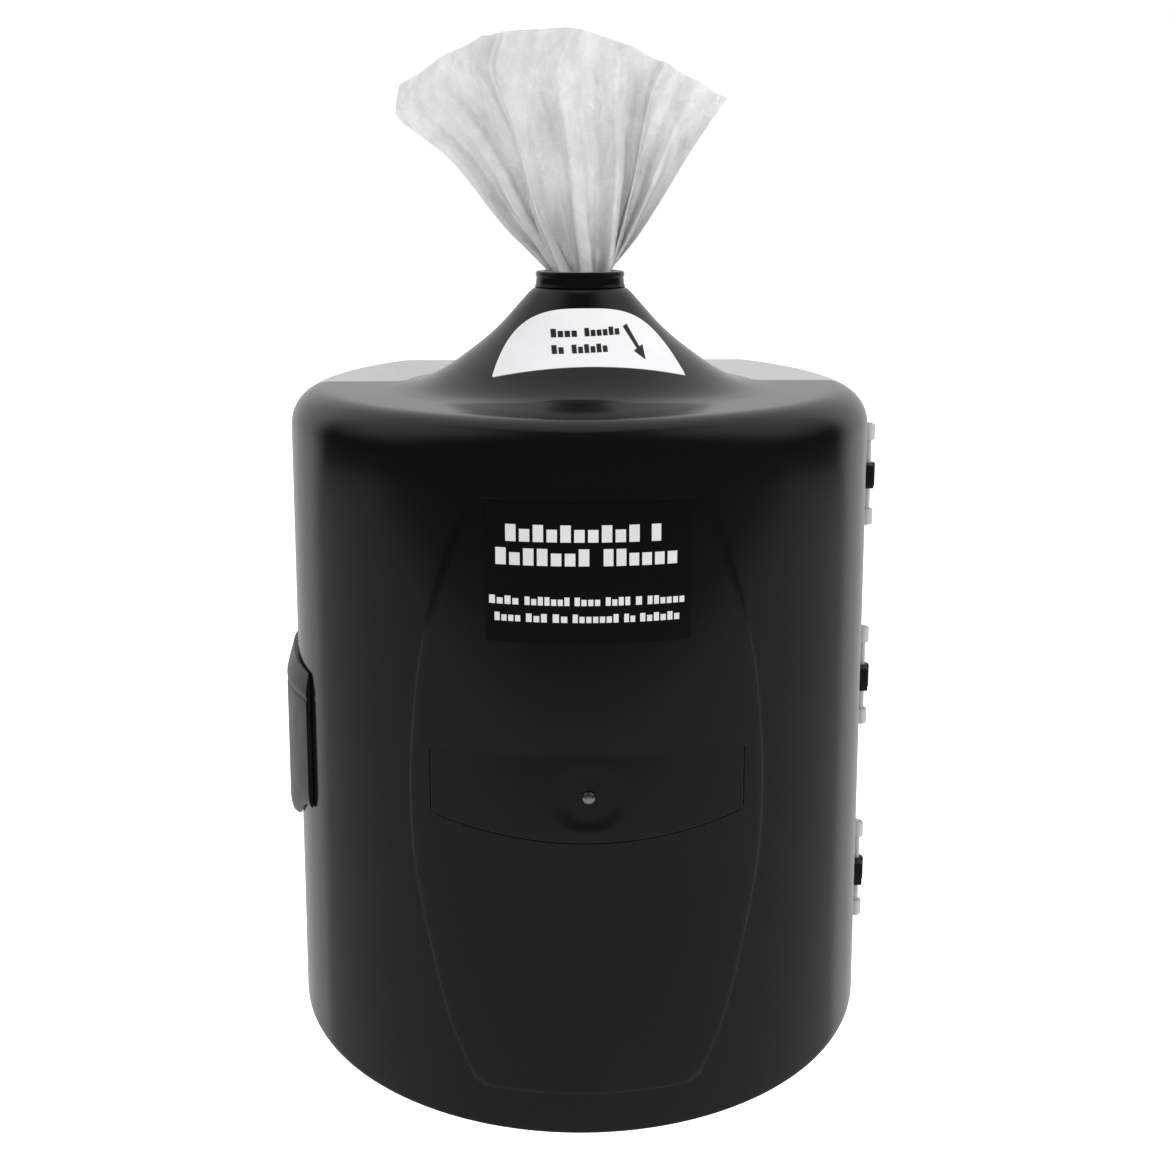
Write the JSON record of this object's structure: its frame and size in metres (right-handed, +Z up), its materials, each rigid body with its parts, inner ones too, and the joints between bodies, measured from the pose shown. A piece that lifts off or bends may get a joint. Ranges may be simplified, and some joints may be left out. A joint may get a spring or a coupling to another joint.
{
  "type": "wipes dispenser",
  "caption": "Wall-hung centre-pull wipes dispenser: grey housing, barrel-shaped black door on vertical hinges, flared top nozzle with a wipe fanned out, and a sprung side latch.",
  "frame": {"origin": "centre of the housing's flat back face, on the wall plane", "axes": "+X to the right seen from the front, +Y into the wall, +Z up"},
  "size_m": [0.2968, 0.257, 0.489],
  "materials": {
    "black_gloss": "glossy moulded plastic",
    "grey_plastic": "satin moulded plastic",
    "steel": "bright zinc-plated steel",
    "rubber": "soft black rubber",
    "nonwoven": "white nonwoven wipe",
    "label_black": "satin printed film",
    "label_white": "satin printed film"
  },
  "bodies": {
    "housing": {"rear_housing": "grey_plastic", "roll_tray": "grey_plastic", "wipes_roll": "nonwoven", "wall_screw_lower_left": "steel", "wall_screw_lower_right": "steel", "wall_screw_upper_left": "steel", "wall_screw_upper_right": "steel", "hinge_bracket_bottom": "grey_plastic", "hinge_bracket_middle": "grey_plastic", "hinge_bracket_top": "grey_plastic", "hinge_pin_bottom": "steel", "hinge_pin_middle": "steel", "hinge_pin_top": "steel", "latch_strike": "steel"},
    "door": {"door_shell": "black_gloss", "door_knuckle_bottom": "black_gloss", "door_knuckle_middle": "black_gloss", "door_knuckle_top": "black_gloss", "nozzle_collar": "black_gloss", "nozzle_retainer": "black_gloss", "badge_plate": "black_gloss", "latch_pin": "steel", "latch_bracket": "steel", "badge_screw": "steel", "nozzle_restrictor": "rubber", "wipe_strand": "nonwoven", "wipe_fan": "nonwoven", "front_label": "label_black", "pull_label": "label_white"},
    "latch": {"latch_handle": "black_gloss", "latch_spring": "steel"}
  },
  "joints": [
    {"name": "door_hinge", "type": "hinge", "parent": "housing", "child": "door", "pos_m": [0.1444, -0.104, 0], "axis": [0, 0, 1], "range_deg": [0, 115]},
    {"name": "latch_pull", "type": "hinge", "parent": "door", "child": "latch", "pos_m": [-0.12037, -0.16727, 0], "axis": [0, 0, 1], "range_deg": [0, 15], "stiffness_Nm_per_rad": 0.15, "springref_deg": -17.19}
  ]
}
